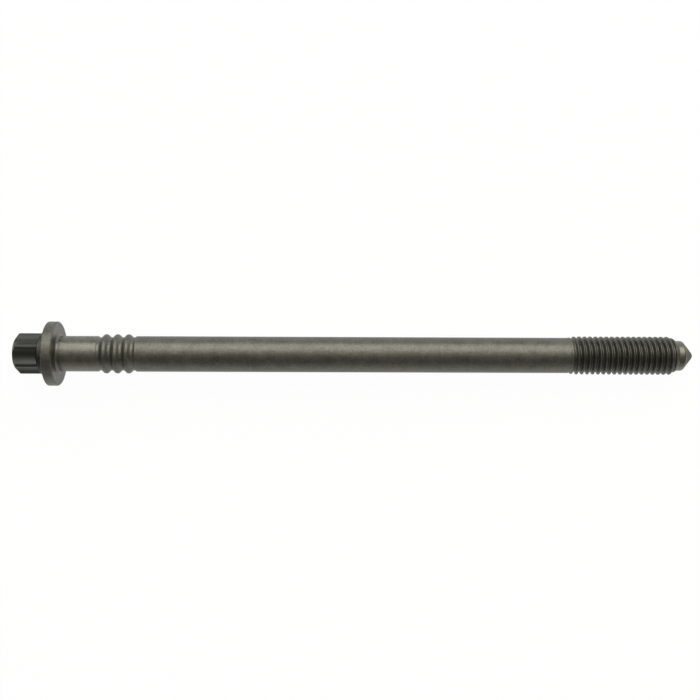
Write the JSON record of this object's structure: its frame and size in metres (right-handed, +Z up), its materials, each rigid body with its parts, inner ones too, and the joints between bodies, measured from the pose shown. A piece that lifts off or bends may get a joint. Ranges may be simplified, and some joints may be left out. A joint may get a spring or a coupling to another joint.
{
  "type": "cylinder head bolt",
  "caption": "Long cylinder head bolt with an external star head on a round flange, centring ribs on the shank and a rolled thread that ends in a pilot nose.",
  "frame": {"origin": "bottom centre of the bounding box of the bolt as it lies at rest on the flange's rim and the thread", "axes": "+X runs from the star head to the tip, +Y across, +Z up; the bolt's own axis dips 1.2 degrees towards the tip, because the flange is wider than the thread"},
  "size_m": [0.2453, 0.0232, 0.0233],
  "materials": {
    "steel": "dark grey phosphated steel, satin, slightly mottled"
  },
  "bodies": {
    "root": {"head_bolt": "steel"}
  },
  "joints": []
}
